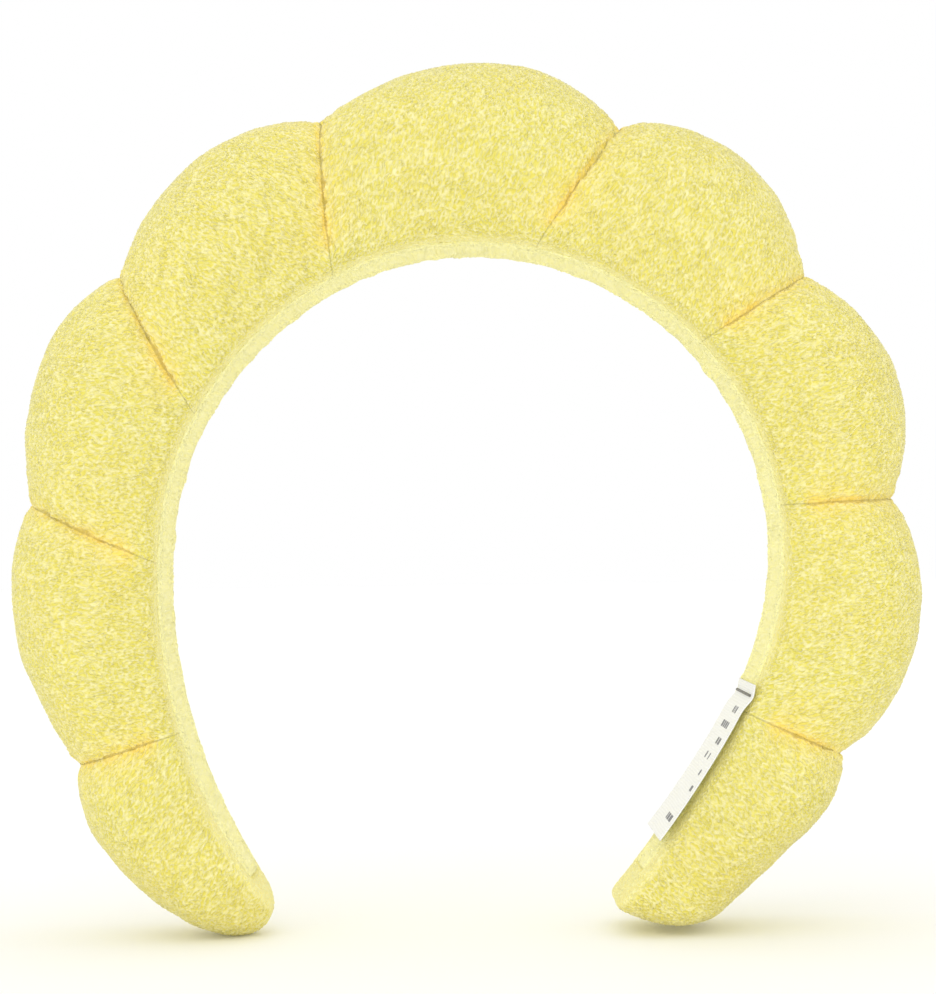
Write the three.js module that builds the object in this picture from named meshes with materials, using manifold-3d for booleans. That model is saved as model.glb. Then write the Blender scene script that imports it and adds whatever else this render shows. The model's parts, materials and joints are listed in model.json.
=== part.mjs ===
// Padded spa headband: nine stuffed terry puffs drawn in by eight threads around a flexible hoop.
// Millimetres. X runs across the head, Y from its front to its back, +Z towards the crown.
// The band stands on the tips of its two arms, on the plane Z = 0.
//
// Every piece is laid out straight and then bent around the hoop's curve. A place on the band is
// (along, depth, height): the distance along the inner face from the crown, negative on the left arm,
// the place across the band, and the height outwards from the inner face.
import * as THREE from 'three';
import { mergeVertices } from 'three/addons/utils/BufferGeometryUtils.js';
import Module from 'manifold-3d';

// The hoop's curve: an arc over the crown, then a flatter arc down each arm
const CROWN_RADIUS = 59.5;
const LEFT_ARM = { side: -1, crownAngle: 84, armRadius: 102, length: 167.5 };
const RIGHT_ARM = { side: 1, crownAngle: 112, armRadius: 151, length: 169.5 };

// The creases, from the left tip to the right tip: where each meets the hoop, where it meets the
// outline, how high the outline is there, and how far the band opens there, in degrees
const CREASES = [
  { hoop: -127.6, rim: -128, height: 21.3, opens: 1.7 },
  { hoop: -94, rim: -86.5, height: 26, opens: 4.5 },
  { hoop: -63.8, rim: -53.5, height: 26.9, opens: 7 },
  { hoop: -26.6, rim: -20, height: 29, opens: 9 },
  { hoop: 13.2, rim: 20, height: 27.4, opens: 9 },
  { hoop: 49.3, rim: 52, height: 23.8, opens: 7 },
  { hoop: 84.1, rim: 85.5, height: 21.9, opens: 4.5 },
  { hoop: 124.3, rim: 124, height: 20.7, opens: 1.7 },
];
// The puffs between them, and the height of each one's crest
const PUFFS = [
  { name: 'left_4', crest: 23.2 },
  { name: 'left_3', crest: 28.4 },
  { name: 'left_2', crest: 31.4 },
  { name: 'left_1', crest: 33.4 },
  { name: 'crown', crest: 35.3 },
  { name: 'right_1', crest: 32.8 },
  { name: 'right_2', crest: 29.3 },
  { name: 'right_3', crest: 27.6 },
  { name: 'right_4', crest: 23.2 },
];
const LAST = PUFFS.length - 1;

// The section of a puff
const CREST_HALF_DEPTH = 22.5;
const CREASE_HALF_DEPTH = 18;
const WIDEST_AT = 0.45;
const DOME_POWER = 2.3;
const INNER_FACE_POWER = 4.5;

// The end puffs taper to a rounded tip
const TIP = { height: 17, halfDepth: 16, centre: 5, domeLength: 22, floorLength: 7, power: 2.2 };
const TIP_CUT = 0.985;
const END_CREST_AT = 1 / 3;
const FOOT_FLAT = 0.8;

// Layers, from the head outwards
const LINING = { halfWidth: 13, thickness: 1.6, endGap: 9, tipTaper: 0.62 };
const HOOP = { halfWidth: 7, thickness: 1.5, endGap: 12, tipTaper: 0.3, taperShare: 1 / 3 };
const COVER_WALL = 1.8;
const LAYER_GAP = 0.3;
const FOAM_GAP = 0.7;

// The creases' threads and the room that the band needs to flex
const THREAD_RADIUS = 0.5;
const THREAD_SINK = 3;
const THREAD_PIERCE = 3.5;
const OPENING_MARGIN = 0.3;
const HOOP_JOINT_GAP = 0.5;
const CREASE_GAP = 2 * THREAD_RADIUS + 2 * LAYER_GAP;

// The care label, sewn down at its upper end
const LABEL = { start: 119, length: 34.5, width: 30, thickness: 0.4, depthShift: -3, lift: 1.3 };
const STITCH = { count: 8, thickness: 0.6, pinch: 0.5, inset: 2.2, margin: 2 };

// Facets
const AROUND = 16;
const ALONG_PUFF = 5;
const ALONG_TIP = 8;
const ALONG_STRIP = 5;
const THREAD_FACETS = [5, 14];

const SAME_POINT = 1e-4;
const FINEST_DETAIL = 0.01;
const LEVELLING_STEPS = 8;
const BEYOND = 2;
const HINGE_HEIGHT = LINING.thickness + LAYER_GAP + HOOP.thickness / 2;

const TERRY = { color: '#f2e78f', roughness: 0.95, metalness: 0 };
const LINING_TERRY = { color: '#f5eeac', roughness: 0.95, metalness: 0 };
const SPONGE = { color: '#f3efe0', roughness: 0.9, metalness: 0 };
const PLASTIC = { color: '#e9e6da', roughness: 0.4, metalness: 0 };
const THREAD = { color: '#e3c95a', roughness: 0.7, metalness: 0 };
const SATIN = { color: '#fafaf8', roughness: 0.45, metalness: 0 };
const DARK_THREAD = { color: '#3c3b38', roughness: 0.7, metalness: 0 };

const wasm = await Module();
wasm.setup();

const radians = THREE.MathUtils.degToRad;
const mix = THREE.MathUtils.lerp;

// ---- The hoop's curve ----

// The arc that a place lies on: its centre, its radius and the place's angle from the crown
function arcAt(along) {
  const arm = along < 0 ? LEFT_ARM : RIGHT_ARM;
  const crownAngle = radians(arm.crownAngle);
  const beyondCrown = Math.abs(along) - CROWN_RADIUS * crownAngle;
  if (beyondCrown <= 0) {
    return { x: 0, z: 0, radius: CROWN_RADIUS, angle: along / CROWN_RADIUS };
  }
  const shift = CROWN_RADIUS - arm.armRadius;
  return {
    x: shift * Math.sin(crownAngle) * arm.side,
    z: shift * Math.cos(crownAngle),
    radius: arm.armRadius,
    angle: arm.side * (crownAngle + beyondCrown / arm.armRadius),
  };
}

function place(along, depth, height) {
  const arc = arcAt(along);
  const reach = arc.radius + height;
  const across = arc.x + reach * Math.sin(arc.angle);
  const up = arc.z + reach * Math.cos(arc.angle);
  return new THREE.Vector3(across, depth, up);
}

// Moves each vertex of a geometry to the place that the function gives for it
function reshape(geometry, move) {
  const position = geometry.attributes.position;
  for (let i = 0; i < position.count; i++) {
    const moved = move(new THREE.Vector3().fromBufferAttribute(position, i));
    position.setXYZ(i, moved.x, moved.y, moved.z);
  }
  return geometry;
}

// ---- The creases ----

// A crease is a plane through the hoop that leans over to its place on the outline
function creaseLean(crease) {
  const arc = arcAt(crease.hoop);
  const turn = (crease.rim - crease.hoop) / arc.radius;
  const rim = arc.radius + crease.height;
  return Math.atan2(rim * Math.sin(turn), rim * Math.cos(turn) - arc.radius - HINGE_HEIGHT);
}

// One side of a crease's V-shaped gap, which closes when the band is opened to its limit
function creaseFace(crease, side) {
  const arc = arcAt(crease.hoop);
  const hinge = arc.radius + HINGE_HEIGHT;
  const lean = creaseLean(crease) + side * radians(crease.opens + OPENING_MARGIN) / 2;
  const start = crease.hoop + side * (CREASE_GAP / 2) * (arc.radius / hinge);
  return { arc, hinge, lean, start };
}

// Where a crease's face is at a height
function faceAlong({ arc, hinge, lean, start }, height) {
  const turn = lean - Math.asin((hinge / (arc.radius + height)) * Math.sin(lean));
  return start + arc.radius * turn;
}

// ---- Puffs ----

const signedPower = (value, power) => Math.sign(value) * Math.abs(value) ** power;
const clamp = THREE.MathUtils.clamp;
const rounded = (share, power) => (1 - clamp(share, 0, 1) ** power) ** (1 / power);

// A puff's form: where its sections are and what their outline is, at a share t of its length.
// A puff between two creases goes from one crease's face to the other's.
function middlePuff(index) {
  const start = CREASES[index - 1];
  const end = CREASES[index];
  const faces = [creaseFace(start, 1), creaseFace(end, -1)];
  const bulge = PUFFS[index].crest - (start.height + end.height) / 2;
  const length = end.hoop - start.hoop;
  return {
    segments: ALONG_PUFF,
    share: (t, endInset) => mix(endInset / length, 1 - endInset / length, t),
    along: (t, height) => mix(faceAlong(faces[0], height), faceAlong(faces[1], height), t),
    outline(t) {
      const swell = Math.max(1 - (2 * t - 1) ** 2, 0);
      return {
        top: mix(start.height, end.height, t) + bulge * swell,
        floor: 0,
        halfDepth: mix(CREASE_HALF_DEPTH, CREST_HALF_DEPTH, Math.sqrt(swell)),
      };
    },
  };
}

// How much of its bulge an end puff has at a share of its length: all of it at its crest
const endSwell = (t) => (t * (1 - t) ** 2) / (END_CREST_AT * (1 - END_CREST_AT) ** 2);

// An end puff: from its one crease to the rounded tip of the arm
function endPuff(index) {
  const arm = index === 0 ? LEFT_ARM : RIGHT_ARM;
  const crease = CREASES[index === 0 ? 0 : LAST - 1];
  const face = creaseFace(crease, arm.side);
  const length = arm.length - Math.abs(crease.hoop);
  const bulge = PUFFS[index].crest - mix(crease.height, TIP.height, END_CREST_AT);
  const widening = CREST_HALF_DEPTH - CREASE_HALF_DEPTH;
  return {
    segments: ALONG_TIP,
    share(t, endInset, wall) {
      const closer = Math.sin(t * Math.PI / 2);
      return mix(endInset / length, TIP_CUT - wall / length, closer);
    },
    along: (t, height) => mix(faceAlong(face, height), arm.side * arm.length, t),
    outline(t) {
      const swell = endSwell(Math.max(t, 0));
      const fromTip = (1 - t) * length;
      const dome = rounded(1 - fromTip / TIP.domeLength, TIP.power);
      const under = rounded(1 - fromTip / TIP.floorLength, TIP.power);
      const top = mix(crease.height, TIP.height, t) + bulge * swell;
      const tapered = mix(CREASE_HALF_DEPTH, TIP.halfDepth, t) * dome;
      return {
        top: mix(TIP.centre, top, dome),
        floor: mix(TIP.centre, 0, under),
        halfDepth: tapered + widening * swell,
      };
    },
  };
}

const PUFF_FORMS = PUFFS.map((_, i) => (i === 0 || i === LAST ? endPuff(i) : middlePuff(i)));

// The body of a puff, drawn in from its outline by a wall, kept above a floor, and drawn in from its
// creases by an inset
function puffGeometry(form, wall, floorHeight, endInset) {
  const straight = new THREE.CylinderGeometry(1, 1, 1, AROUND, form.segments);
  return reshape(straight, (point) => {
    const t = form.share(point.y + 0.5, endInset, wall);
    const { top, floor, halfDepth } = form.outline(t);
    const radius = Math.hypot(point.x, point.z);
    const angle = Math.atan2(point.z, point.x);
    const high = Math.max(top - wall, 0);
    const low = Math.min(Math.max(floor + wall, floorHeight), high);
    const widest = mix(low, high, WIDEST_AT);
    const power = 2 / (angle > 0 ? DOME_POWER : INNER_FACE_POWER);
    const rise = angle > 0 ? high - widest : widest - low;
    const depth = radius * Math.max(halfDepth - wall, 0) * signedPower(Math.cos(angle), power);
    const height = widest + radius * rise * signedPower(Math.sin(angle), power);
    return place(form.along(t, height), depth, height);
  });
}

// ---- Solids ----

function solid(geometry) {
  const bare = geometry.clone();
  bare.deleteAttribute('normal');
  bare.deleteAttribute('uv');
  const merged = mergeVertices(bare, SAME_POINT);
  return new wasm.Manifold(new wasm.Mesh({
    numProp: 3,
    vertProperties: new Float32Array(merged.attributes.position.array),
    triVerts: facingOut(merged),
  }));
}

// The triangles without those that have shrunk to nothing, turned the right way round if the
// reshaping has turned the body inside out
function facingOut(merged) {
  const index = merged.index.array;
  const corner = [0, 1, 2].map(() => new THREE.Vector3());
  const kept = [];
  let volume = 0;
  for (let i = 0; i < index.length; i += 3) {
    const [a, b, c] = index.slice(i, i + 3);
    if (a === b || b === c || c === a) continue;
    kept.push([a, b, c]);
    [a, b, c].forEach((vertex, k) => {
      corner[k].fromBufferAttribute(merged.attributes.position, vertex);
    });
    volume += corner[0].dot(corner[1].cross(corner[2]));
  }
  const ordered = volume > 0 ? kept : kept.map(([a, b, c]) => [a, c, b]);
  return new Uint32Array(ordered.flat());
}

function toGeometry(manifold) {
  const { vertProperties, triVerts } = manifold.getMesh();
  const geometry = new THREE.BufferGeometry();
  geometry.setAttribute('position', new THREE.BufferAttribute(new Float32Array(vertProperties), 3));
  geometry.setIndex(new THREE.BufferAttribute(new Uint32Array(triVerts), 1));
  return geometry;
}

function piece(name, manifold, finish) {
  const mesh = new THREE.Mesh(toGeometry(manifold), new THREE.MeshStandardMaterial(finish));
  mesh.name = name;
  return mesh;
}

// A strip bent along the hoop's curve, with its own half width at each share of its length. Its two
// ends can reach further than its span.
function strip([start, end], [low, high], halfWidth, [before, after] = [0, 0]) {
  const straight = new THREE.BoxGeometry(1, 1, 1, ALONG_STRIP, 1, 1);
  return solid(reshape(straight, ({ x, y, z }) => {
    const t = x + 0.5;
    let along = mix(start, end, t);
    if (x === -0.5) along -= before;
    if (x === 0.5) along += after;
    return place(along, 2 * y * halfWidth(t), mix(low, high, z + 0.5));
  }));
}

// ---- Strips under the puffs: the lining and the hoop ----

// The length of the band that belongs to one puff, between its creases' meeting points on the hoop
function stripSpan(index, endGap) {
  const halfGap = HOOP_JOINT_GAP / 2;
  const start = index === 0 ? -LEFT_ARM.length + endGap : CREASES[index - 1].hoop + halfGap;
  const end = index === LAST ? RIGHT_ARM.length - endGap : CREASES[index].hoop - halfGap;
  return [start, end];
}

// How much further than its strip a slot or a groove reaches: out of the puff's open ends
function pastEnds(index) {
  const open = CREASE_GAP + BEYOND;
  return [index === 0 ? LAYER_GAP : open, index === LAST ? LAYER_GAP : open];
}

// How far from the arm's tip a place is, both as shares of the strip's length; 1 in all other puffs
function fromTipShare(index, t) {
  if (index === 0) return t;
  return index === LAST ? 1 - t : 1;
}

function liningHalfWidth(index, clearance) {
  return (t) => {
    const fromTip = fromTipShare(index, t);
    return mix(LINING.tipTaper, 1, Math.sqrt(fromTip)) * LINING.halfWidth + clearance;
  };
}

function hoopHalfWidth(index, clearance) {
  return (t) => {
    const fromTip = Math.min(fromTipShare(index, t) / HOOP.taperShare, 1);
    return mix(HOOP.tipTaper, 1, Math.sqrt(fromTip)) * HOOP.halfWidth + clearance;
  };
}

function liningStrip(index) {
  return strip(stripSpan(index, LINING.endGap), [0, LINING.thickness], liningHalfWidth(index, 0));
}

function hoopStrip(index) {
  const low = LINING.thickness + LAYER_GAP;
  return strip(stripSpan(index, HOOP.endGap), [low, low + HOOP.thickness], hoopHalfWidth(index, 0));
}

// The slot in the cover that the lining closes
function liningSlot(index) {
  const heights = [-BEYOND, COVER_WALL + BEYOND];
  return strip(stripSpan(index, LINING.endGap), heights, liningHalfWidth(index, LAYER_GAP), pastEnds(index));
}

// The groove under the foam that the hoop lies in
function hoopGroove(index) {
  const heights = [0, LINING.thickness + 2 * LAYER_GAP + HOOP.thickness];
  return strip(stripSpan(index, HOOP.endGap), heights, hoopHalfWidth(index, LAYER_GAP), pastEnds(index));
}

// ---- Puffs' pieces ----

function coverShell(index) {
  const form = PUFF_FORMS[index];
  const outside = solid(puffGeometry(form, 0, 0, 0));
  const hollow = solid(puffGeometry(form, COVER_WALL, 0, -BEYOND));
  return outside.subtract(hollow).subtract(liningSlot(index)).simplify(FINEST_DETAIL);
}

function foamBody(index) {
  const form = PUFF_FORMS[index];
  const body = solid(puffGeometry(form, COVER_WALL + FOAM_GAP, LINING.thickness + LAYER_GAP, FOAM_GAP));
  return body.subtract(hoopGroove(index)).simplify(FINEST_DETAIL);
}

// ---- The threads ----

// A closed loop through the foam and over the puff, lying on the crown side's face of its crease
function threadMesh(index) {
  const crease = CREASES[index];
  const crownSide = crease.hoop < 0 ? 1 : -1;
  const face = creaseFace(crease, crownSide);
  const low = THREAD_PIERCE;
  const high = (crease.height - HINGE_HEIGHT) / Math.cos(face.lean) - THREAD_SINK;
  const halfDepth = CREASE_HALF_DEPTH - THREAD_SINK;
  const ring = new THREE.TorusGeometry(1, THREAD_RADIUS, ...THREAD_FACETS);
  reshape(ring, ({ x, y, z }) => {
    const angle = Math.atan2(y, x);
    const [nearX, nearY] = [Math.cos(angle), Math.sin(angle)];
    const depth = x - nearX + halfDepth * nearX;
    const height = y - nearY + ((high - low) / 2) * nearY;
    return new THREE.Vector3(z, depth, height);
  });
  const outerPuff = PUFFS[crownSide > 0 ? index : index + 1];
  const mesh = piece(`thread_${outerPuff.name}`, solid(ring), THREAD);
  const turn = face.arc.angle + (face.start - crease.hoop) / face.arc.radius;
  const tilt = turn + face.lean;
  const foot = new THREE.Vector3(Math.sin(turn), 0, Math.cos(turn)).multiplyScalar(face.hinge);
  const up = new THREE.Vector3(Math.sin(tilt), 0, Math.cos(tilt));
  const away = new THREE.Vector3(Math.cos(tilt), 0, -Math.sin(tilt)).multiplyScalar(-crownSide);
  mesh.position.set(face.arc.x, 0, face.arc.z).add(foot);
  mesh.position.addScaledVector(up, (low + high) / 2).addScaledVector(away, LAYER_GAP + THREAD_RADIUS);
  mesh.rotation.y = tilt;
  return mesh;
}

// ---- The care label ----

// Height of the label's underside over the inner face: it comes away from the band towards its free end
const labelHeight = (t) => -LAYER_GAP - LABEL.lift * t * t;

function labelStrip() {
  const straight = new THREE.BoxGeometry(1, 1, 1, ALONG_STRIP, 1, 1);
  return solid(reshape(straight, ({ x, y, z }) => {
    const t = x + 0.5;
    const height = labelHeight(t) - (z + 0.5) * LABEL.thickness;
    return place(LABEL.start + t * LABEL.length, LABEL.depthShift + y * LABEL.width, height);
  }));
}

// The row of stitching across the label's upper end: one thread that dips between its stitches
function labelStitching() {
  const labelFace = labelHeight(STITCH.inset / LABEL.length) - LABEL.thickness;
  const middle = labelFace - (LAYER_GAP + STITCH.thickness) / 2;
  const length = LABEL.width - 2 * STITCH.margin;
  const bar = new THREE.BoxGeometry(1, 1, 1, 1, 2 * STITCH.count, 1);
  return solid(reshape(bar, ({ x, y, z }) => {
    const swell = mix(STITCH.pinch, 1, Math.abs(Math.sin((y + 0.5) * STITCH.count * Math.PI)));
    const along = LABEL.start + STITCH.inset + x * STITCH.thickness * swell;
    const height = middle + z * STITCH.thickness * swell;
    return place(along, LABEL.depthShift + y * length, height);
  }));
}

// ---- Standing on the two tips ----

function lowestPoint(manifold, roll) {
  const { vertProperties } = manifold.getMesh();
  const turn = new THREE.Matrix4().makeRotationY(roll);
  const lowest = new THREE.Vector3(0, 0, Infinity);
  for (let i = 0; i < vertProperties.length; i += 3) {
    const point = new THREE.Vector3().fromArray(vertProperties, i).applyMatrix4(turn);
    if (point.z < lowest.z) lowest.copy(point);
  }
  return lowest;
}

// The angle that the band leans by for both of its tips to touch the ground
function levelRoll(left, right) {
  let roll = 0;
  for (let i = 0; i < LEVELLING_STEPS; i++) {
    const [a, b] = [lowestPoint(left, roll), lowestPoint(right, roll)];
    roll += Math.atan2(b.z - a.z, b.x - a.x);
  }
  return roll;
}

function cutFeet(covers, roll, ground) {
  const size = LEFT_ARM.length + RIGHT_ARM.length;
  const block = new THREE.BoxGeometry(size, size, size);
  block.translate(0, 0, ground - size / 2);
  block.rotateY(-roll);
  const below = solid(block);
  return covers.map((cover) => cover.subtract(below).simplify(FINEST_DETAIL));
}

// ---- The headband ----

function buildBand() {
  const band = new THREE.Group();
  const shells = PUFFS.map((_, i) => coverShell(i));
  const [left, right] = [shells[0], shells[LAST]];
  const roll = levelRoll(left, right);
  const ground = lowestPoint(left, roll).z + FOOT_FLAT;
  const covers = cutFeet(shells, roll, ground);
  PUFFS.forEach(({ name }, i) => {
    band.add(piece(`cover_${name}`, covers[i], TERRY));
    band.add(piece(`foam_${name}`, foamBody(i), SPONGE));
    band.add(piece(`hoop_${name}`, hoopStrip(i), PLASTIC));
    band.add(piece(`lining_${name}`, liningStrip(i), LINING_TERRY));
  });
  CREASES.forEach((_, i) => band.add(threadMesh(i)));
  band.add(piece('care_label', labelStrip(), SATIN));
  band.add(piece('label_stitching', labelStitching(), DARK_THREAD));
  band.rotation.y = roll;
  band.position.z = -ground;
  return band;
}

const headband = new THREE.Group();
headband.add(buildBand());
const bounds = new THREE.Box3().setFromObject(headband, true);
headband.position.x = -(bounds.min.x + bounds.max.x) / 2;
headband.updateMatrixWorld(true);

export default headband;
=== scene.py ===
import json
import math

import bpy
import numpy as np
from mathutils import Matrix, Vector

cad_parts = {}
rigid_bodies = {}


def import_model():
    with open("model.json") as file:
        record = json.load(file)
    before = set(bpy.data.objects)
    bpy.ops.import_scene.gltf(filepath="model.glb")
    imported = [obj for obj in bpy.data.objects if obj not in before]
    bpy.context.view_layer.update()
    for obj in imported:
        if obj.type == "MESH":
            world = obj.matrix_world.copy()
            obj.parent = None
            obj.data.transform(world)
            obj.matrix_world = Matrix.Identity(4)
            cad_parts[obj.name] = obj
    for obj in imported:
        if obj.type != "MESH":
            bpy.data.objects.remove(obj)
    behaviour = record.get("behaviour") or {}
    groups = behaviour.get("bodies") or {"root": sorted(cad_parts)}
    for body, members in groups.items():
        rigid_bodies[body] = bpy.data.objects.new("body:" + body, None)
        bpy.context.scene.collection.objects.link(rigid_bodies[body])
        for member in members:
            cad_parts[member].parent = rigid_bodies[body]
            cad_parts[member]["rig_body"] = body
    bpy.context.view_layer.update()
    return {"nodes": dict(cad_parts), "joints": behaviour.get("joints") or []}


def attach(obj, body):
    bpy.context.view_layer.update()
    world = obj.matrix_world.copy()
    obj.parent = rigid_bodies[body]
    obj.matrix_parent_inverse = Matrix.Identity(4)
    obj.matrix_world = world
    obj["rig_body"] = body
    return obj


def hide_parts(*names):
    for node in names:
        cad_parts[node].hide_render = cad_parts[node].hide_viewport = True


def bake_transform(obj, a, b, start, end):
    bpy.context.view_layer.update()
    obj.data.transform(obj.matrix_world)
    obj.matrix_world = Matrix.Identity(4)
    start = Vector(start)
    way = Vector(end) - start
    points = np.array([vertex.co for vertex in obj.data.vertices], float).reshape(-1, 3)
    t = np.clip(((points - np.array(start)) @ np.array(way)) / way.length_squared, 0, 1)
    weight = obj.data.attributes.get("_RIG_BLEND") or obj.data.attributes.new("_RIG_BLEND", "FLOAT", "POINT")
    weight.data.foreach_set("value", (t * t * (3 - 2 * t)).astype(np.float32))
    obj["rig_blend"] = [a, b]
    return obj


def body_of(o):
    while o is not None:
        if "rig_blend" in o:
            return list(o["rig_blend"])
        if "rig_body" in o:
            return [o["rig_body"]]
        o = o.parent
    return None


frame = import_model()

MM = 0.001

# ---------------------------------------------------------------- sizes, in millimetres and degrees
CROWN_RADIUS = 59.5
ARMS = {-1: {"crown": 84, "radius": 102, "length": 167.5}, 1: {"crown": 112, "radius": 151, "length": 169.5}}
HINGE_HEIGHT = 2.65

# creases from the left tip to the right tip: place on the hoop, place on the rim, height of the rim
CREASES = [(-127.6, -128, 21.3), (-94, -86.5, 26), (-63.8, -53.5, 26.9), (-26.6, -20, 29),
           (13.2, 20, 27.4), (49.3, 52, 23.8), (84.1, 85.5, 21.9), (124.3, 124, 20.7)]
PUFFS = ["left_4", "left_3", "left_2", "left_1", "crown", "right_1", "right_2", "right_3", "right_4"]
CRESTS = [23.2, 28.4, 31.4, 33.4, 35.3, 32.8, 29.3, 27.6, 23.2]
CREST_AT = [0, 0.56, 0.55, 0.5, 0.53, 0.43, 0.49, 0.48, 0]
LAST = len(PUFFS) - 1
TIPS = {-1: {"height": 17, "centre": 4.5, "dome": 22, "floor": 6, "power": 2.0, "half_depth": 16},
        1: {"height": 16.5, "centre": 6.5, "dome": 6, "floor": 2.5, "power": 2.3, "half_depth": 16}}
SLANT = {-1: 0, 1: 0.45}     # how far an arm's end is cut back for each millimetre of height
REACH = {-1: 0, 1: 0.8}      # and how much further its inner corner comes
END_CREST_AT = 1 / 4
SKIN = 0.55                  # how far the loops and the camera's perspective carry the outline out

CREST_HALF_DEPTH = 22.5      # half of the band's depth at a puff's crest
CREASE_HALF_DEPTH = 19.2     # and in a crease
INNER_HALF_DEPTH = 19.2      # and along the edge of the inner face, which has no creases
WIDEST_AT = 0.45
DOME_POWER = 2.3
INNER_POWER = 8
INNER_SWELL = 0.55           # how far the inner face stands in from the hoop's curve
INNER_BULGES = [(0.75, -48, 24), (0.35, 105, 45), (0.5, 140, 16)]     # and more: rise, place and width

LINING = {"half_width": 13, "recess": 0.5, "proud": 0.14, "thickness": 0.55, "end_gap": 9, "tip_taper": 0.62}
LABEL = {"start": 119, "length": 34.5, "width": 30, "shift": -3.9, "lift": 1.2, "gap": 1.25, "thickness": 0.3}
FOAM = {"inset": 3.0, "floor": 4.0, "spacing": 2.2}

PILE = 0.36                  # depth of the terry's loops
LOOP = 0.86                  # spacing of the loops
SPACING = 0.22
FOLD = {"draw": 0.2, "draw_width": 0.4, "valley": 0.1, "valley_width": 1.8, "pinch": 0.3, "pinch_height": 4.5,
        "pucker": 0.15, "pucker_width": 5.0, "wander": 0.12}
# widths and strengths of the painted shade and orange interreflection along the creases
CREASE_SHADING = {"line_width": 0.5, "near": 0.3, "near_width": 2.2, "far": 0.2, "far_width": 7.0, "pinch": 0.15}

# ---------------------------------------------------------------- where the hoop is, from the frame's hinges
joints = {j["child"]: j for j in frame["joints"]}


def hinge_point(body):
    return np.array(joints[body]["pos_m"], float) / MM


left_hinge, right_hinge = hinge_point("left_1"), hinge_point("right_1")
across = right_hinge - left_hinge
left_angle, right_angle = CREASES[3][0] / CROWN_RADIUS, CREASES[4][0] / CROWN_RADIUS
ROLL = -math.atan2(across[2], across[0]) - (left_angle + right_angle) / 2
HINGE_RADIUS = CROWN_RADIUS + HINGE_HEIGHT
CENTRE = left_hinge - HINGE_RADIUS * np.array([math.sin(left_angle + ROLL), 0, math.cos(left_angle + ROLL)])

# ---------------------------------------------------------------- camera
CAMERA_DISTANCE = 0.530
data = bpy.data.cameras.new("camera")
data.lens = 99.5
data.sensor_width = 36
data.shift_x = -0.0041
data.shift_y = 0.0585
camera = bpy.data.objects.new("camera", data)
bpy.context.scene.collection.objects.link(camera)
up = Vector((math.sin(ROLL), 0, math.cos(ROLL)))
back = Vector((0, -1, 0))
right = up.cross(back)
facing = Matrix((right, up, back)).transposed().to_4x4()
camera.matrix_world = Matrix.Translation(Vector(CENTRE * MM) + back * CAMERA_DISTANCE) @ facing
bpy.context.scene.camera = camera


# ---------------------------------------------------------------- the hoop's curve
def arcs(along):
    """The arc under each place: centre x and z, radius, and the place's angle from the crown."""
    along = np.asarray(along, float)
    x, z = np.zeros_like(along), np.zeros_like(along)
    radius, angle = np.full_like(along, CROWN_RADIUS), along / CROWN_RADIUS
    for side, arm in ARMS.items():
        crown = math.radians(arm["crown"])
        beyond = side * along - CROWN_RADIUS * crown
        on = beyond > 0
        shift = CROWN_RADIUS - arm["radius"]
        x = np.where(on, side * shift * math.sin(crown), x)
        z = np.where(on, shift * math.cos(crown), z)
        radius = np.where(on, arm["radius"], radius)
        angle = np.where(on, side * (crown + beyond / arm["radius"]), angle)
    return x, z, radius, angle


def place(along, depth, height):
    """Places on the band, in millimetres in the frame: along the hoop, across it and out from it."""
    x, z, radius, angle = arcs(along)
    reach = radius + height
    x, z = x + reach * np.sin(angle), z + reach * np.cos(angle)
    c, s = math.cos(ROLL), math.sin(ROLL)
    out = np.stack(np.broadcast_arrays(x * c + z * s, depth, z * c - x * s), -1)
    return out + CENTRE


def crease_along(index, height):
    """Where a crease's leaning plane is at a height over the inner face."""
    hoop, rim, rim_height = CREASES[index]
    radius = float(arcs(hoop)[2])
    turn, reach, hinge = (rim - hoop) / radius, radius + rim_height, radius + HINGE_HEIGHT
    lean = math.atan2(reach * math.sin(turn), reach * math.cos(turn) - hinge)
    return hoop + radius * (lean - np.arcsin(hinge / (radius + height) * math.sin(lean)))


def smooth(low, high, value):
    t = np.clip((value - low) / (high - low), 0, 1)
    return t * t * (3 - 2 * t)


def rounded(share, power):
    return (1 - np.clip(share, 0, 1) ** power) ** (1 / power)


# ---------------------------------------------------------------- noise that repeats in space
def band_volume(seed, cells=128, wave=6.5, width=0.28):
    """A repeating block of noise whose blobs are about `wave` cells apart."""
    rng = np.random.default_rng(seed)
    spectrum = np.fft.rfftn(rng.standard_normal((cells, cells, cells)).astype(np.float32))
    f = np.fft.fftfreq(cells)
    r = np.sqrt(f[:, None, None] ** 2 + f[None, :, None] ** 2 + np.fft.rfftfreq(cells)[None, None, :] ** 2)
    spectrum *= np.exp(-((r * wave - 1) / width) ** 2 / 2)
    out = np.fft.irfftn(spectrum, s=(cells,) * 3).astype(np.float32)
    return out / out.std()


NOISE = band_volume(7)
NOISE_WAVE = 6.5


def noise(points, wave, shift=0.0):
    """Band noise at points, with blobs `wave` millimetres apart."""
    n = NOISE.shape[0]
    p = (np.asarray(points, np.float32) + shift) * (NOISE_WAVE / wave)
    base = np.floor(p).astype(np.int64)
    f = p - base
    out = 0
    for corner in range(8):
        step = [(corner >> k) & 1 for k in range(3)]
        weight = 1
        for k in range(3):
            weight = weight * (f[..., k] if step[k] else 1 - f[..., k])
        out = out + weight * NOISE[tuple((base[..., k] + step[k]) % n for k in range(3))]
    return out


# ---------------------------------------------------------------- a puff's section
def section_angles(count):
    """Angles round a section that give evenly spaced points on a typical one."""
    fine = np.linspace(-math.pi, math.pi, 8001) - math.pi / 2
    y, h = section(fine, 30.0, 0.0, CREST_HALF_DEPTH)
    length = np.concatenate([[0], np.cumsum(np.hypot(np.diff(y), np.diff(h)))])
    even = np.linspace(0, length[-1], count + 1)[:-1]
    return np.interp(even, length, fine)


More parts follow.
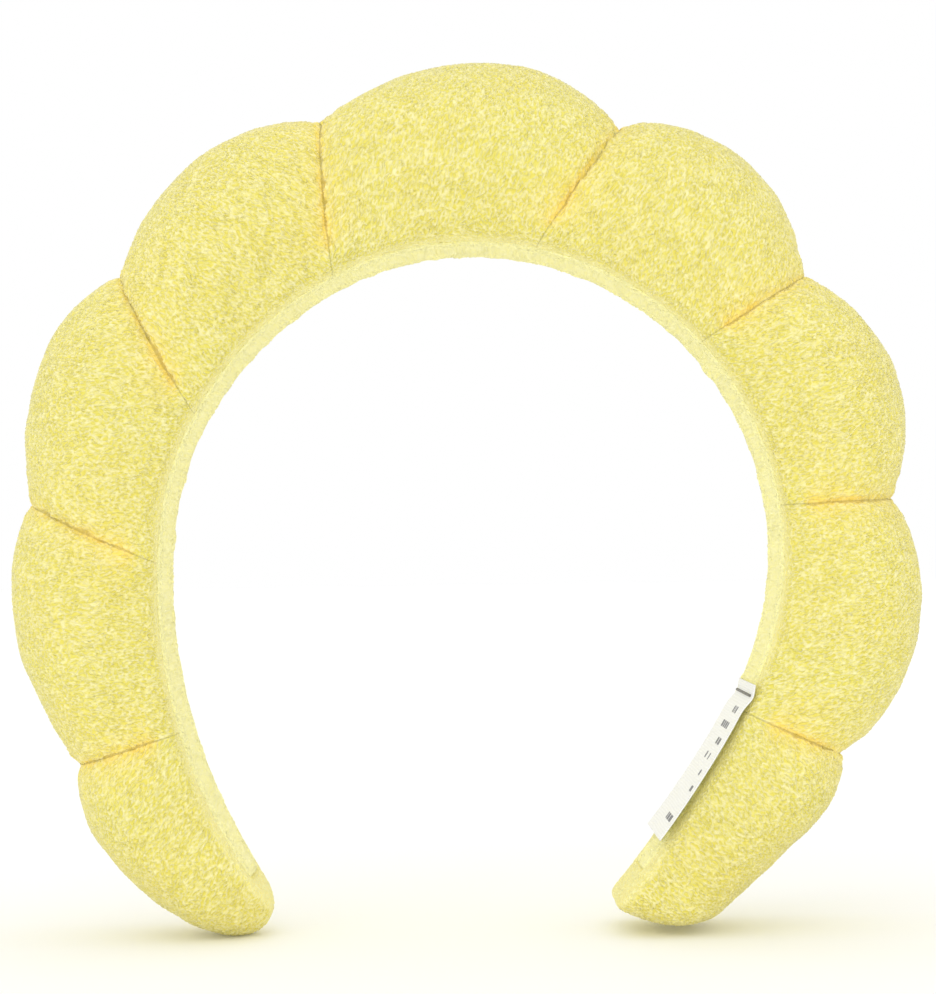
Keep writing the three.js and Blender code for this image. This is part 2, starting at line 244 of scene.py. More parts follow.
def section(angle, top, floor, half_depth):
    """Depth and height of a section's points."""
    c, s = np.cos(angle), np.sin(angle)
    widest = floor + (top - floor) * WIDEST_AT
    out = s > 0
    power = np.where(out, 2 / DOME_POWER, 2 / INNER_POWER)
    y = np.sign(c) * np.abs(c) ** power
    rise = np.where(out, top - widest, widest - floor) * np.sign(s) * np.abs(s) ** power
    return half_depth * y, widest + rise


def outline(index, t):
    """Top, floor, half depth and half depth at the inner edge at a share of a puff's length."""
    if 0 < index < LAST:
        start, end = CREASES[index - 1][2], CREASES[index][2]
        skewed = t ** (math.log(0.5) / math.log(CREST_AT[index]))
        swell = np.clip(1 - (2 * skewed - 1) ** 2, 0, 1)
        top = start + (end - start) * t + (CRESTS[index] - (start + end) / 2) * swell
        half = CREASE_HALF_DEPTH + (CREST_HALF_DEPTH - CREASE_HALF_DEPTH) * swell ** 0.5
        return top - SKIN, 0 * t, half, INNER_HALF_DEPTH + 0 * t
    side = -1 if index == 0 else 1
    tip, valley = TIPS[side], CREASES[0 if index == 0 else LAST - 1][2]
    length = ARMS[side]["length"] - abs(CREASES[0 if index == 0 else LAST - 1][0])
    swell = t * (1 - t) ** 3 / (END_CREST_AT * (1 - END_CREST_AT) ** 3)
    from_tip = (1 - t) * length
    dome = rounded(1 - from_tip / tip["dome"], tip["power"])
    under = rounded(1 - from_tip / tip["floor"], tip["power"])
    line = valley + (tip["height"] - valley) * t
    bulge = CRESTS[index] - (valley + (tip["height"] - valley) * END_CREST_AT)
    top = tip["centre"] + (line + bulge * swell - SKIN - tip["centre"]) * dome
    floor = tip["centre"] * (1 - under)
    taper = (CREASE_HALF_DEPTH + (tip["half_depth"] - CREASE_HALF_DEPTH) * t) * dome
    half = taper + (CREST_HALF_DEPTH - CREASE_HALF_DEPTH) * np.clip(swell, 0, 1) ** 0.7 * dome
    inner = (INNER_HALF_DEPTH + (tip["half_depth"] - INNER_HALF_DEPTH) * t) * dome
    return top, floor, half, inner


def puff_along(index, t, height):
    """Place along the hoop of a share of a puff's length, at a height."""
    if index == 0:
        start = -ARMS[-1]["length"] - REACH[-1] + SLANT[-1] * height
        return start + (crease_along(0, height) - start) * (1 - t)
    start = crease_along(index - 1, height)
    tip = ARMS[1]["length"] + REACH[1] - SLANT[1] * height
    end = tip if index == LAST else crease_along(index, height)
    return start + (end - start) * t


def puff_rows(index, spacing):
    """Shares of a puff's length for its rows, from its left end to its right end."""
    if index in (0, LAST):
        side = -1 if index == 0 else 1
        length = ARMS[side]["length"] - abs(CREASES[0 if index == 0 else LAST - 1][0])
        count = 2 * round(length * 1.5 / spacing / 2)
        t = np.sin(np.linspace(0, math.pi / 2, count + 1))
        return t[::-1] if index == 0 else t
    length = (CREASES[index][0] - CREASES[index - 1][0]) * 1.25
    return np.linspace(0, 1, 2 * round(length / spacing / 2) + 1)


def inner_swell(along):
    """How far the soft inner face stands in from the hoop's curve."""
    return INNER_SWELL + sum(rise * np.exp(-((along - at) / width) ** 2) for rise, at, width in INNER_BULGES)


def surface(index, t, angles, inset=0.0, raised=0.0):
    """A puff's smooth surface at shares t (rows) and angles (columns): along, depth and height, in mm.
    inset draws it in all round, and raised lifts its inner face."""
    top, floor, half, inner = (v[:, None] for v in outline(index, t))
    top, floor = top - inset, floor + raised
    top = np.maximum(top, floor + 0.01)
    y, h = section(angles[None, :], top, floor, 1.0)
    edge = smooth(1.0, 12.0, h)
    depth = y * np.maximum(inner + (half - inner) * edge - inset, 0)
    along = puff_along(index, t[:, None], h)
    if not raised:
        h = h - inner_swell(along) * smooth(9, 1, h) * smooth(0, 0.25, half / CREST_HALF_DEPTH)
    return along, depth, h


# ---------------------------------------------------------------- the terry cover's surface
def cover_grid():
    """The whole cover as one grid of rows along the band and columns round it."""
    perimeter = 132
    angles = section_angles(2 * round(perimeter / SPACING / 2))
    blocks, marks, first = [], [], 0
    for index in range(len(PUFFS)):
        t = puff_rows(index, SPACING)
        if index:
            t = t[1:]
        blocks.append(surface(index, t, angles))
        marks.append((first, first + len(t)))
        first += len(t)
    along, depth, height = (np.concatenate(part) for part in zip(*blocks))
    return angles, marks, along, depth, height


def grid_normals(points):
    """Unit normals of a grid that closes round its columns."""
    down = np.gradient(points, axis=0)
    round_ = np.roll(points, -1, 1) - np.roll(points, 1, 1)
    n = np.cross(down, round_)
    length = np.linalg.norm(n, axis=-1, keepdims=True)
    n = n / np.maximum(length, 1e-9)
    for end, near in ((0, 1), (-1, -2)):
        mean = n[near].mean(0)
        n[end] = mean / np.linalg.norm(mean)
    return n


angles, marks, along, depth, height = cover_grid()
points = place(along, depth, height)
normals = grid_normals(points)
if (normals[len(normals) // 2] * (points[len(points) // 2] - points[len(points) // 2].mean(0))).sum() < 0:
    normals = -normals

# the creases: a narrow line in a small valley, which ends in a pinch by the inner edge, with painted shade along
# each crease
crease = np.zeros_like(along)
draw = np.zeros_like(along)
pucker, patchy = noise(points, 3.6, 11.0), noise(points, 5.0, 17.0)
wander = FOLD["wander"] * noise(points, 9.0, 13.0)


def bell(off, width):
    return np.exp(-(off / width) ** 2)


for k in range(len(CREASES)):
    radius = float(arcs(CREASES[k][0])[2])
    off = (along - crease_along(k, height)) * (radius + height) / radius + wander
    fade = smooth(2.0, 6.0, height)
    pinch = bell(off, FOLD["valley_width"]) * bell(height - FOLD["pinch_height"], 2.0) * (np.abs(depth) > 12)
    deep = 0.45 + 0.55 * smooth(20, 7, height)
    draw += fade * FOLD["draw"] * deep * bell(off, FOLD["draw_width"]) + FOLD["pinch"] * pinch
    draw += fade * FOLD["valley"] * bell(off, FOLD["valley_width"])
    draw += fade * FOLD["pucker"] * pucker * bell(off, FOLD["pucker_width"])
    # painted shade and orange interreflection along the crease, strongest on its line, handed to the shader as
    # an attribute
    crease += fade * deep * bell(off, CREASE_SHADING["line_width"]) * (0.7 + 0.3 * patchy) + CREASE_SHADING["pinch"] * pinch
    crease += fade * deep * CREASE_SHADING["near"] * bell(off, CREASE_SHADING["near_width"])
    crease += fade * deep * CREASE_SHADING["far"] * bell(off, CREASE_SHADING["far_width"])
from_tip = np.minimum(along + ARMS[-1]["length"], ARMS[1]["length"] - along)
inner_face = smooth(1.2, 0.0, height)
inner_face *= smooth(LINING["half_width"] + 5, LINING["half_width"] + 2, np.abs(depth))
lumps = 0.13 * noise(points, 19.0, 3.0) + 0.09 * noise(points, 8.0, 5.0)
points = points + normals * ((1 - inner_face) * lumps * smooth(0, 10, from_tip) - draw)[..., None]


def lining_half_width(along):
    """Half the lining's width, which narrows towards the tips."""
    out = np.full_like(along, LINING["half_width"])
    for side, crease_index in ((-1, 0), (1, LAST - 1)):
        start, end = abs(CREASES[crease_index][0]), ARMS[side]["length"] - LINING["end_gap"]
        share = np.clip((end - side * along) / (end - start), 0, 1)
        narrow = LINING["half_width"] * (LINING["tip_taper"] + (1 - LINING["tip_taper"]) * np.sqrt(share))
        out = np.where(side * along > start, narrow, out)
    return out


# the recess that the lining lies in
edge = np.abs(depth) - lining_half_width(along)
at_lining = smooth(0.3, -0.1, edge) * (height < 5) * smooth(-0.8, 0.2, from_tip - LINING["end_gap"])
points = points - normals * (LINING["recess"] * at_lining)[..., None]

# the cloth's own directions: along the band and out from the head, a little turned in each puff
rng = np.random.default_rng(11)
turning = arcs(along)[3]
cloth = np.zeros_like(points)
for (first, last), name in zip(marks, PUFFS):
    take, centre_row = slice(first, last), (first + last) // 2
    x = along[take] - along[centre_row].mean() + height[take] * (turning[take] - turning[centre_row].mean())
    turned = rng.uniform(-0.6, 0.6)
    cloth[take, :, 0] = 1.3 * (x * math.cos(turned) - height[take] * math.sin(turned)) + 60 * rng.random()
    cloth[take, :, 1] = depth[take]
    cloth[take, :, 2] = 0.72 * (x * math.sin(turned) + height[take] * math.cos(turned))

# the loops: curled ridges over small hollows
normals = grid_normals(points) * np.sign((normals * grid_normals(points)).sum(-1, keepdims=True))
curl = noise(cloth, LOOP * 1.5, 1.0)
fluff = noise(cloth, LOOP * 0.85, 9.0)
ridge = np.exp(-(curl / 0.55) ** 2)
pile = np.clip(0.62 * ridge + 0.19 * fluff + 0.22, 0, 1)
patch = noise(points, 6.0, 21.0)
short = 1 - 0.45 * inner_face
points = points + normals * (PILE * short * (pile - 0.5) * (1 + 0.15 * patch))[..., None]
points[..., 2] = np.maximum(points[..., 2], 0.02)
for end in (0, -1):
    points[end] = points[end].mean(0)
normals = grid_normals(points) * np.sign((normals * grid_normals(points)).sum(-1, keepdims=True))


# ---------------------------------------------------------------- meshes
def new_mesh(name, vertices, faces, **attributes):
    """A mesh object from vertices in millimetres."""
    mesh = bpy.data.meshes.new(name)
    faces = np.asarray(faces)
    mesh.vertices.add(len(vertices))
    mesh.vertices.foreach_set("co", (np.asarray(vertices) * MM).astype(np.float32).ravel())
    mesh.loops.add(faces.size)
    mesh.loops.foreach_set("vertex_index", faces.ravel().astype(np.int32))
    mesh.polygons.add(len(faces))
    mesh.polygons.foreach_set("loop_start", np.arange(0, faces.size, faces.shape[1], dtype=np.int32))
    mesh.update(calc_edges=True)
    mesh.shade_smooth()
    for key, values in attributes.items():
        values = np.asarray(values, np.float32)
        kind = "FLOAT_VECTOR" if values.ndim == 2 else "FLOAT"
        layer = mesh.attributes.new(key, kind, "POINT")
        layer.data.foreach_set("vector" if values.ndim == 2 else "value", values.ravel())
    obj = bpy.data.objects.new(name, mesh)
    bpy.context.scene.collection.objects.link(obj)
    return obj


def grid_faces(rows, columns, closed):
    i, j = np.meshgrid(np.arange(rows - 1), np.arange(columns if closed else columns - 1), indexing="ij")
    a, b = i * columns + j, i * columns + (j + 1) % columns
    return np.stack([a, b, b + columns, a + columns], -1).reshape(-1, 4)


def grid_uv(mesh, rows, columns, closed):
    """A flat layout of a grid's faces, as a UV map that a bake can use."""
    layer = mesh.uv_layers.new(name="OFBake")
    i, j = np.meshgrid(np.arange(rows - 1), np.arange(columns if closed else columns - 1), indexing="ij")
    corner = np.stack([np.stack([j, i], -1), np.stack([j + 1, i], -1), np.stack([j + 1, i + 1], -1),
                       np.stack([j, i + 1], -1)], 2).reshape(-1, 2).astype(float)
    uv = 0.004 + 0.992 * corner / [columns if closed else columns - 1, rows - 1]
    return layer, uv


def outward(grid):
    """True if a closed grid's faces, as grid_faces makes them, face out."""
    middle = len(grid) // 2
    ring = grid[middle:middle + 2].reshape(-1, 3)
    v = ring[grid_faces(2, grid.shape[1], True)]
    return bool((np.cross(v[:, 1] - v[:, 0], v[:, 2] - v[:, 0]) * (v.mean(1) - ring.mean(0))).sum() > 0)


def grid_piece(name, grid, normals=None, outside=None, **attributes):
    """A piece from a grid of places that closes round its columns."""
    rows, columns = grid.shape[:2]
    vertices = grid.reshape(-1, 3)
    turned = not (outward(grid) if outside is None else outside)
    faces = grid_faces(rows, columns, True)
    attributes = {key: value.reshape(-1) if value.ndim == 2 else value.reshape(-1, 3)
                  for key, value in attributes.items()}
    attributes.setdefault("rest", vertices * MM)
    obj = new_mesh(name, vertices, faces[:, ::-1] if turned else faces, **attributes)
    layer, uv = grid_uv(obj.data, rows, columns, True)
    uv = uv.reshape(-1, 4, 2)[:, ::-1] if turned else uv
    layer.data.foreach_set("uv", uv.astype(np.float32).ravel())
    if normals is not None:
        obj.data.normals_split_custom_set_from_vertices(normals.reshape(-1, 3).astype(np.float32))
    return obj


def closed_ends(grid, steps=1):
    """The grid with its two ends drawn to a point."""
    first, last = grid[:1].mean(1, keepdims=True), grid[-1:].mean(1, keepdims=True)
    shares = np.arange(steps)[:, None, None] / steps
    start = first * (1 - shares) + grid[:1] * shares
    end = (last * (1 - shares) + grid[-1:] * shares)[::-1]
    return np.concatenate([start, grid, end])


# ---------------------------------------------------------------- materials
def shade(red, green, blue):
    """A colour given as it looks on a screen, 0 to 255."""
    def channel(value):
        value /= 255
        return value / 12.92 if value <= 0.04045 else ((value + 0.055) / 1.055) ** 2.4
    return (channel(red), channel(green), channel(blue), 1)


class Finish:
    """A material and its nodes."""

    def __init__(self, name, **sockets):
        self.material = bpy.data.materials.new(name)
        self.material.use_nodes = True
        self.tree = self.material.node_tree
        self.shader = self.tree.nodes["Principled BSDF"]
        for key, value in sockets.items():
            self.shader.inputs[key.replace("_", " ")].default_value = value

    def node(self, kind, settings=None, **inputs):
        node = self.tree.nodes.new("ShaderNode" + kind)
        for key, value in (settings or {}).items():
            setattr(node, key, value)
        for key, value in inputs.items():
            name = key.replace("_", " ")
            socket = node.inputs[int(name[1:])] if name[:1] == "i" and name[1:].isdigit() else node.inputs[name]
            self.put(socket, value)
        return node

    def put(self, socket, value):
        if isinstance(value, bpy.types.NodeSocket):
            self.tree.links.new(value, socket)
        else:
            socket.default_value = value

    def attribute(self, name, output="Fac"):
        return self.node("Attribute", {"attribute_name": name}).outputs[output]

    def math(self, operation, a, b=0.0, clamp=False):
        return self.node("Math", {"operation": operation, "use_clamp": clamp}, i0=a, i1=b).outputs[0]

    def mix(self, share, a, b):
        node = self.node("Mix", {"data_type": "RGBA"})
        self.put(node.inputs[0], share)
        self.put(node.inputs[6], a)
        self.put(node.inputs[7], b)
        return node.outputs[2]

    def noise(self, where, scale, detail=2.0, roughness=0.5, distortion=0.0):
        return self.node("TexNoise", None, Vector=where, Scale=scale, Detail=detail, Roughness=roughness,
                         Distortion=distortion).outputs["Fac"]

    def range(self, value, low, high, to_low=0.0, to_high=1.0):
        return self.node("MapRange", None, Value=value, From_Min=low, From_Max=high, To_Min=to_low,
                         To_Max=to_high).outputs[0]

    def bump(self, height, distance, strength=1.0, under=None):
        node = self.node("Bump", None, Height=height, Distance=distance, Strength=strength)
        if under is not None:
            self.put(node.inputs["Normal"], under)
        return node.outputs[0]

    def use(self, **links):
        for key, value in links.items():
            self.put(self.shader.inputs[key.replace("_", " ")], value)
        return self.material


def terry(name, tip, hollow_shade, patch_tone_and_crease_shade, sheen, glow):
    f = Finish(name, Roughness=0.95, Sheen_Weight=sheen, Sheen_Roughness=0.4, Emission_Strength=glow)
    f.shader.inputs["Sheen Tint"].default_value = shade(255, 250, 225)
    f.shader.inputs["Specular IOR Level"].default_value = 0.15
    where = f.attribute("rest", "Vector")
    strand = f.math("ABSOLUTE", f.math("SUBTRACT", f.noise(where, 1350.0, 0.0, 0.5, 0.4), 0.5))
    strand = f.range(strand, 0.0, 0.15, 1.0, 0.0)
    grain = f.noise(where, 2600.0, 1.0)
    tuft = f.attribute("pile")
    # the loops' tips get a painted highlight and the hollows between them painted shade
    lit = f.math("ADD", f.math("MULTIPLY", tuft, 0.65), f.math("MULTIPLY", strand, 0.35))
    body = f.mix(f.range(lit, 0.15, 0.8), hollow_shade, tip)
    cloud = f.noise(where, 55.0, 3.0, 0.6)
    body = f.mix(f.range(cloud, 0.35, 0.75, 0.0, 0.12), body, patch_tone_and_crease_shade)
    # painted shade in the creases: the colour turns orange along them
    body = f.mix(f.math("MULTIPLY", f.attribute("crease"), 0.6, True), body, patch_tone_and_crease_shade)
    body = f.mix(f.math("MULTIPLY", f.attribute("inner"), 0.3), body, shade(252, 247, 196))
    height = f.math("ADD", f.math("MULTIPLY", strand, 0.8), f.math("MULTIPLY", grain, 0.5))
    rough = f.range(tuft, 0.0, 1.0, 1.0, 0.88)
    # painted glow: a faint emission everywhere that lightens shade, brighter on the inner face and brightest and
    # orange in the creases
    inside = f.math("MULTIPLY", f.attribute("inner"), 0.6)
    painted_glow = f.mix(inside, shade(108, 104, 50), shade(190, 184, 96))
    painted_glow = f.mix(f.math("MULTIPLY", f.attribute("crease"), 0.8, True), painted_glow, shade(235, 196, 84))
    return f.use(Base_Color=body, Emission_Color=painted_glow, Normal=f.bump(height, 0.00026, 0.7), Roughness=rough)


# tip colour with painted highlight, hollow and fold colours with painted shade, sheen, and the painted glow's
# strength
TERRY = terry("terry", shade(251, 244, 184), shade(232, 221, 104), shade(246, 216, 108), 0.45, 0.26)

# ---------------------------------------------------------------- the cover's pieces
rows_at = {PUFFS[i]: (marks[i][0] + marks[i][1]) // 2 for i in range(len(PUFFS))}


def cross_blend(obj, index):
    """Bends a piece across crease `index`, over a few millimetres to each side of the crease's plane."""
    reach = 8.5
    low = place(crease_along(index, 2.0), 0, 2.0)
    high = place(crease_along(index, 24.0), 0, 24.0)
    lean = (high - low) / np.linalg.norm(high - low)
    way = np.cross([0, 1, 0], lean)
    ahead = place(CREASES[index][0] + 5, 0, 10) - place(CREASES[index][0] - 5, 0, 10)
    way = way if way @ ahead > 0 else -way
    middle = (low + high) / 2
    start, end = (middle - way * reach) * MM, (middle + way * reach) * MM
    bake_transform(obj, PUFFS[index], PUFFS[index + 1], start=start, end=end)


cuts = [0] + [rows_at[p] for p in PUFFS] + [len(points) - 1]
OUTWARD = outward(points)


def cover_piece(name, first, last):
    """The cover between two rows of its grid."""
    take = slice(first, last + 1)
    return grid_piece(name, points[take], normals[take], OUTWARD, pile=pile[take],
                      crease=np.clip(crease[take], 0, 1), inner=inner_face[take], rest=cloth[take] * MM)


covers = []
for k in range(len(cuts) - 1):
    if k == 0 or k == len(cuts) - 2:
        body = PUFFS[0] if k == 0 else PUFFS[-1]
        piece = cover_piece(f"terry_{body}_tip", cuts[k], cuts[k + 1])
        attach(piece, body)
        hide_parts(f"cover_{body}")
    else:
        piece = cover_piece(f"terry_{PUFFS[k - 1]}_{PUFFS[k]}", cuts[k], cuts[k + 1])
        cross_blend(piece, k - 1)
        if k - 1 > 0:
            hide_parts(f"cover_{PUFFS[k - 1]}")
    piece.data.materials.append(TERRY)
    covers.append(piece)

# ---------------------------------------------------------------- the lining
def lining_grid(start, end):
    """A strip of the lining as a closed grid."""
    rows = np.linspace(start, end, max(3, round((end - start) / (SPACING * 1.2))))
    around = np.linspace(0, 2 * math.pi, 2 * round(30 / SPACING), endpoint=False) - math.pi / 2
    c, s = np.cos(around), np.sin(around)
    y = np.sign(c) * np.abs(c) ** 0.28
    h = np.sign(s) * np.abs(s) ** 0.5
    half = lining_half_width(rows)[:, None]
    ends = 0.25 + 0.75 * np.sqrt(np.clip(np.minimum(rows + ARMS[-1]["length"], ARMS[1]["length"] - rows)
                                         - LINING["end_gap"], 0, 2) / 2)[:, None]
    low, high = -LINING["proud"], LINING["thickness"] - LINING["proud"]
    height = (low + high) / 2 + (high - low) / 2 * h[None, :] * ends - inner_swell(rows)[:, None]
    return rows[:, None] + 0 * height, half * y[None, :] * (0.9 + 0.1 * ends), height


def lining_piece(name, start, end, close):
    along, depth, height = lining_grid(start, end)
    grid = place(along, depth, height)
    outside = outward(grid)
    away = grid_normals(grid) * (-1 if outside else 1)
    middle = grid[len(grid) // 2]
    away *= np.sign((away[len(grid) // 2] * (middle - middle.mean(0))).sum())
    curl, fluff = noise(grid, LOOP * 1.2, 31.0), noise(grid, LOOP * 0.8, 33.0)
    pile = np.clip(0.6 * np.exp(-(curl / 0.55) ** 2) + 0.18 * fluff + 0.25, 0, 1)
    face = smooth(0.3, 0.0, height + inner_swell(along))
    lump = 0.12 * noise(grid, 4.5, 35.0)
    grid = grid + away * (face * lump)[..., None] + away * (0.4 * face * (pile - 0.5))[..., None]
    if close:
        grid[0 if close < 0 else -1] = grid[0 if close < 0 else -1].mean(0)
    return grid_piece(name, grid, None, outside, pile=pile, crease=0 * pile, inner=1 + 0 * pile)


# tip colour with painted highlight, hollow and fold colours with painted shade, sheen, and the painted glow's
# strength
LINING_TERRY = terry("lining_terry", shade(255, 253, 205), shade(252, 245, 164), shade(248, 230, 140),
                     0.3, 0.3)
middles = [(CREASES[i - 1][0] + CREASES[i][0]) / 2 for i in range(1, LAST)]
stations = [-ARMS[-1]["length"] + LINING["end_gap"], -146.0] + middles
stations += [146.0, ARMS[1]["length"] - LINING["end_gap"]]
for k in range(len(stations) - 1):
    close = -1 if k == 0 else 1 if k == len(stations) - 2 else 0
    if close:
        body = PUFFS[0] if close < 0 else PUFFS[-1]
        piece = lining_piece(f"lining_strip_{body}_tip", stations[k], stations[k + 1], close)
        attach(piece, body)
        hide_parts(f"lining_{body}")
    else:
        piece = lining_piece(f"lining_strip_{PUFFS[k - 1]}_{PUFFS[k]}", stations[k], stations[k + 1], close)
        cross_blend(piece, k - 1)
        if k - 1 > 0:
            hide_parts(f"lining_{PUFFS[k - 1]}")
    piece.data.materials.append(LINING_TERRY)

# ---------------------------------------------------------------- the foam
def sponge():
    f = Finish("sponge", Roughness=0.9)
    where = f.attribute("rest", "Vector")
    pores = f.node("TexVoronoi", {"feature": "SMOOTH_F1"}, Vector=where, Scale=900.0).outputs["Distance"]
    blot = f.noise(where, 90.0, 3.0)
    # the pores' hollows are painted darker, as painted shade
    body = f.mix(f.range(pores, 0.1, 0.6), shade(214, 205, 178), shade(245, 240, 226))
    body = f.mix(f.range(blot, 0.3, 0.7, 0.0, 0.3), body, shade(236, 226, 196))
    return f.use(Base_Color=body, Normal=f.bump(pores, 0.0003))


SPONGE = sponge()
foam_angles = section_angles(2 * round(110 / FOAM["spacing"] / 2))
for index, body in enumerate(PUFFS):
    t = puff_rows(index, FOAM["spacing"])
    t = t[(t < 0.86) & (t > 0.09)] if index in (0, LAST) else t[(t > 0.1) & (t < 0.9)]
    grid = place(*surface(index, t, foam_angles, FOAM["inset"], FOAM["floor"]))
    grid = grid - 0.35 * (noise(grid, 7.0, 41.0)[..., None] * 0.5) * [1, 0, 1]
    piece = grid_piece(f"foam_core_{body}", closed_ends(grid, 3))
    piece.data.materials.append(SPONGE)
    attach(piece, body)
    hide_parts(f"foam_{body}")


# ---------------------------------------------------------------- the hoop
def plastic():
    f = Finish("moulded_plastic", Roughness=0.38)
    f.shader.inputs["IOR"].default_value = 1.49
    where = f.node("TexCoord").outputs["Object"]
    flow = f.noise(where, 240.0, 2.0, 0.5, 1.2)
    grain = f.noise(where, 3000.0, 2.0)
    body = f.mix(f.range(flow, 0.3, 0.7), shade(228, 224, 210), shade(238, 235, 224))
    return f.use(Base_Color=body, Normal=f.bump(grain, 0.00003), Roughness=f.range(grain, 0.3, 0.7, 0.32, 0.46))


PLASTIC = plastic()
for body in PUFFS:
    node = frame["nodes"][f"hoop_{body}"]
    node.data.materials.clear()
    node.data.materials.append(PLASTIC)


# ---------------------------------------------------------------- threads
def thread(name, color, dark):
    f = Finish(name, Roughness=0.6, Sheen_Weight=0.2)
    where = f.attribute("rest", "Vector")
    fibre = f.noise(where, 2400.0, 2.0, 0.6)
    body = f.mix(f.range(fibre, 0.3, 0.7), dark, color)
    return f.use(Base_Color=body, Normal=f.bump(fibre, 0.00006))


def two_ply(path, radius, turns, closed, sides=8):
    """Two tubes twisted round a path: vertices and faces."""
    path = np.asarray(path, float)
    way = np.roll(path, -1, 0) - np.roll(path, 1, 0) if closed else np.gradient(path, axis=0)
    way /= np.linalg.norm(way, axis=1, keepdims=True)
    start = np.array([0, 1, 0.0]) if abs(way[0][1]) < 0.8 else np.array([1.0, 0, 0])
    normal = np.cross(way, start + 0 * way)
    normal /= np.linalg.norm(normal, axis=1, keepdims=True)
    other = np.cross(way, normal)
    count = len(path)
    share = np.arange(count) / (count if closed else count - 1)
    vertices, faces = [], []
    for ply in range(2):
        twist = 2 * math.pi * turns * share + ply * math.pi
        centre = path + 0.48 * radius * (np.cos(twist)[:, None] * normal + np.sin(twist)[:, None] * other)
        around = np.linspace(0, 2 * math.pi, sides, endpoint=False)[None, :, None]
        thick = 0.52 * radius * np.ones(count)[:, None, None]
        if not closed:
            thick = thick * np.sqrt(np.clip(np.minimum(share, 1 - share) * 12, 0.02, 1))[:, None, None]
        tube = centre[:, None] + thick * (np.cos(around) * normal[:, None] + np.sin(around) * other[:, None])
        grid = np.concatenate([tube, tube[:1]]) if closed else tube
        rings = grid_faces(len(grid), sides, True)
        if closed:
            rings = rings % (count * sides)
            grid = tube
        faces.append(rings + sum(len(v) for v in vertices))
        vertices.append(grid.reshape(-1, 3))
    return np.concatenate(vertices), np.concatenate(faces)


def fixed_faces(vertices, faces):
    """The faces turned so that each tube's faces point away from its own middle line."""
    v = vertices[faces]
    return faces if (np.einsum("ij,ij->i", v[:, 0], np.cross(v[:, 1], v[:, 2]))).sum() > 0 else faces[:, ::-1]


CREASE_THREAD = thread("crease_thread", shade(238, 212, 112), shade(206, 172, 70))
for body in PUFFS:
    if body == "crown":
        continue
    node = f"thread_{body}"
    ring = np.array([v.co for v in frame["nodes"][node].data.vertices], float) / MM
    middle = (ring.max(0) + ring.min(0)) / 2
    axes = np.linalg.svd(ring - ring.mean(0), full_matrices=False)[2]
    long_, short_ = axes[0], axes[1]
    a, b = (np.abs((ring - middle) @ axis).max() - 0.5 for axis in (long_, short_))
    turn = np.linspace(0, 2 * math.pi, 240, endpoint=False)[:, None]
    path = middle + a * np.cos(turn) * long_ + b * np.sin(turn) * short_
    vertices, faces = two_ply(path, 0.5, 60, True)
    piece = new_mesh(f"twisted_{node}", vertices, fixed_faces(vertices, faces), rest=vertices * MM)
    piece.data.materials.append(CREASE_THREAD)
    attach(piece, body_of(frame["nodes"][node])[0])
    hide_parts(node)


# ---------------------------------------------------------------- the care label
def label_place(share, across, up):
    """A place on the label: shares of its length and width, and how far under its face."""
    y = LABEL["shift"] + (across - 0.5) * LABEL["width"]
    lift = LABEL["lift"] * share ** 1.7 * (0.8 + 0.4 * across) + 0.18 * np.sin(across * 5.3 + 0.6) * share
    sag = -0.7 * np.exp(-((share - 0.07) / 0.06) ** 2)
    along = LABEL["start"] + share * LABEL["length"]
    return place(along, y, -(LABEL["gap"] + inner_swell(along) - 0.3 + lift + sag) + up)


def bars(share, across):
    """Rows of plain printed bars."""
    rng = np.random.default_rng(5)
    ink = np.zeros(np.broadcast(share, across).shape)
    for row in np.arange(0.17, 0.9, 0.1):
        x = 0.1
        while x < 0.7:
            long_ = rng.uniform(0.03, 0.12)
            if rng.random() < 0.75 - x:
                on = (np.abs(share - row) < 0.02) & (across > x) & (across < min(x + long_, 0.72))
                ink = np.where(on, 1.0, ink)
            x += long_ + 0.022
    return ink


def satin():
    f = Finish("label_satin", Roughness=0.42, Sheen_Weight=0.15)
    where = f.attribute("rest", "Vector")
    weave = f.node("TexWave", {"bands_direction": "Y"}, Vector=where, Scale=900.0, Distortion=0.4).outputs["Fac"]
    cross = f.node("TexWave", {"bands_direction": "Z"}, Vector=where, Scale=700.0, Distortion=0.4).outputs["Fac"]
    cloth = f.math("MULTIPLY", f.math("ADD", weave, cross), 0.5)
    body = f.mix(cloth, shade(240, 240, 238), shade(253, 253, 252))
    body = f.mix(f.attribute("ink"), body, shade(58, 58, 60))
    return f.use(Base_Color=body, Normal=f.bump(cloth, 0.00005))


LABEL_STEP = 0.2
share = np.linspace(0, 1, round(LABEL["length"] / LABEL_STEP))[:, None]
count = round(LABEL["width"] / LABEL_STEP)
across = np.concatenate([np.linspace(0, 1, count), np.linspace(1, 0, count)])[None, :]
up = np.concatenate([np.zeros(count), np.full(count, LABEL["thickness"])])[None, :]
share, across, up = np.broadcast_arrays(share, across, up)
printed = np.pad(bars(share, across) * (up == 0), ((1, 1), (0, 0)))
label = grid_piece("woven_label", closed_ends(label_place(share, across, up)), ink=printed)
label.data.materials.append(satin())
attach(label, "right_3")
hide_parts("care_label")

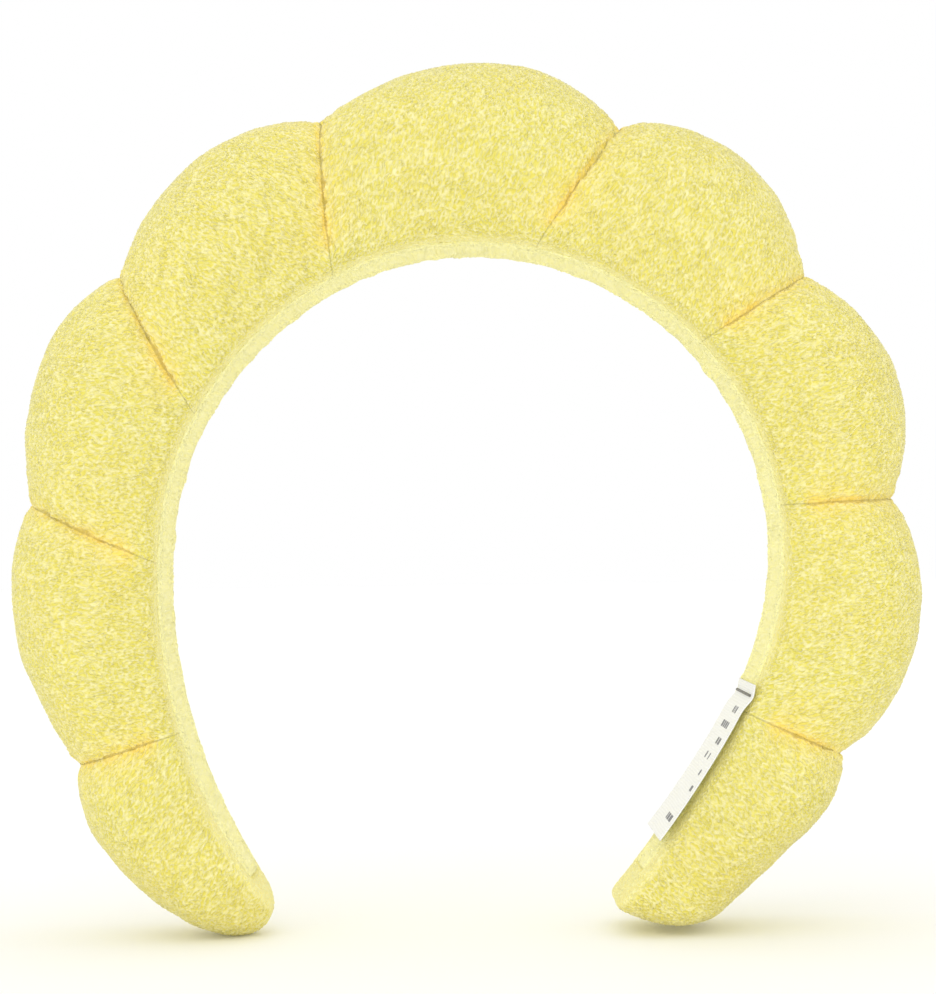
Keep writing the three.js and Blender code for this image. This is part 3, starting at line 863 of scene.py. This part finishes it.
STITCHES = 8
vertices, faces = [], []
for k in range(STITCHES):
    reach = np.linspace(0.06 + 0.88 * (k + 0.12) / STITCHES, 0.06 + 0.88 * (k + 0.88) / STITCHES, 15)
    rise = -0.28 * np.sqrt(np.clip(1 - np.linspace(-1, 1, 15) ** 2, 0, 1))
    v, f = two_ply(label_place(0.065 + 0 * reach, reach, rise + 0.05), 0.3, 3, False, 6)
    faces.append(f + sum(len(x) for x in vertices))
    vertices.append(v)
vertices, faces = np.concatenate(vertices), np.concatenate(faces)
stitching = new_mesh("label_stitches", vertices, faces, rest=vertices * MM)
stitching.data.materials.append(thread("label_thread", shade(150, 148, 144), shade(105, 103, 100)))
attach(stitching, "right_3")
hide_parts("label_stitching")

# ---------------------------------------------------------------- stage
world = bpy.data.worlds.new("world")
bpy.context.scene.world = world
world.use_nodes = True
sky = world.node_tree
soft = sky.nodes["Background"]
soft.inputs["Color"].default_value = (1, 1, 1, 1)
soft.inputs["Strength"].default_value = 1.0
white = sky.nodes.new("ShaderNodeBackground")
white.inputs["Color"].default_value = (1, 1, 1, 1)
either = sky.nodes.new("ShaderNodeMixShader")
sky.links.new(sky.nodes.new("ShaderNodeLightPath").outputs["Is Camera Ray"], either.inputs[0])
sky.links.new(soft.outputs[0], either.inputs[1])
sky.links.new(white.outputs[0], either.inputs[2])
sky.links.new(either.outputs[0], sky.nodes["World Output"].inputs[0])


def soft_sun(name, position, strength, spread):
    lamp = bpy.data.lights.new(name, "SUN")
    lamp.energy, lamp.angle = strength, math.radians(spread)
    obj = bpy.data.objects.new(name, lamp)
    bpy.context.scene.collection.objects.link(obj)
    obj.matrix_world = (-Vector(position)).to_track_quat("-Z", "Y").to_matrix().to_4x4()


soft_sun("key", (-0.3, -1.0, 0.5), 0.38, 60)

FLOOR, UNDER = 6000, -0.1
corners = [[x * FLOOR, y * FLOOR, UNDER] for x, y in ((-1, -1), (1, -1), (1, 1), (-1, 1))]
floor = new_mesh("floor", np.array(corners), [[0, 1, 2, 3]])
pale = Finish("pale_floor", Roughness=0.9, Emission_Strength=0.05)
pale.shader.inputs["Emission Color"].default_value = (1, 1, 1, 1)
pale.use(Base_Color=shade(250, 250, 249))
floor.data.materials.append(pale.material)
bpy.context.scene.view_settings.view_transform = "Standard"
